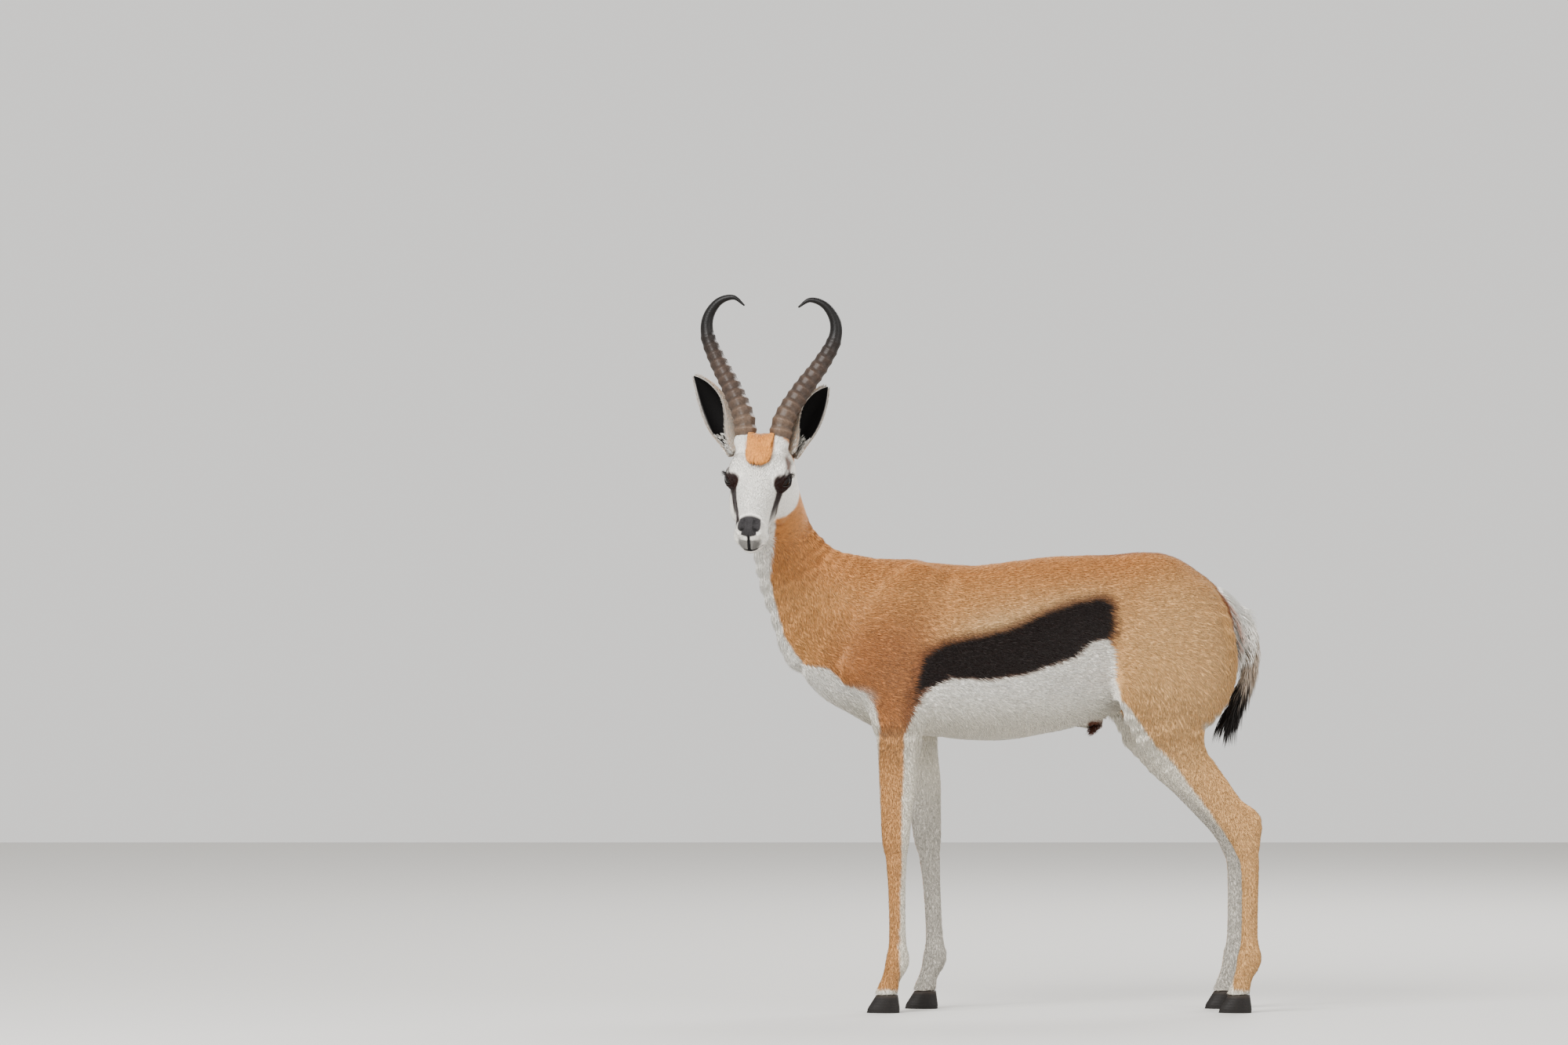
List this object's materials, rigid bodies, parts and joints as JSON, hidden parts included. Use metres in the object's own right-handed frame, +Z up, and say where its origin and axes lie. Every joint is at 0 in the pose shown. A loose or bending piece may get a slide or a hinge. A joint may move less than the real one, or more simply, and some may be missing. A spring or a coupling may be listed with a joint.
{
  "type": "springbok",
  "caption": "Life-size standing springbok ram, body in profile and head turned to its left, with lyre horns and a dark flank band.",
  "frame": {"origin": "on the floor under the middle of the outline seen from above", "axes": "+Z up, the body faces -X, its left side faces -Y and the head looks out over that side"},
  "size_m": [0.968, 0.3212, 1.2153],
  "materials": {
    "tan_fur": "short sleek coat, tan above and white below a dark band",
    "white_fur": "short sleek white coat",
    "tail_fur": "white coat with a dark tuft",
    "ear_fur": "thin grey coat, dark inside",
    "horn": "ringed keratin, smooth black towards the tip",
    "hoof": "dull black keratin",
    "eye": "wet, near black brown"
  },
  "bodies": {
    "root": {"torso": "tan_fur", "neck": "tan_fur", "leg_fore_left_upper": "tan_fur", "leg_fore_left_lower": "tan_fur", "hoof_fore_left_outer": "hoof", "hoof_fore_left_inner": "hoof", "leg_fore_right_upper": "tan_fur", "leg_fore_right_lower": "tan_fur", "hoof_fore_right_outer": "hoof", "hoof_fore_right_inner": "hoof", "leg_hind_left_upper": "tan_fur", "leg_hind_left_lower": "tan_fur", "hoof_hind_left_outer": "hoof", "hoof_hind_left_inner": "hoof", "leg_hind_right_upper": "tan_fur", "leg_hind_right_lower": "tan_fur", "hoof_hind_right_outer": "hoof", "hoof_hind_right_inner": "hoof", "eye_left": "eye", "horn_left": "horn", "ear_left": "ear_fur", "eye_right": "eye", "horn_right": "horn", "ear_right": "ear_fur", "head": "white_fur", "tail": "tail_fur"}
  },
  "joints": []
}
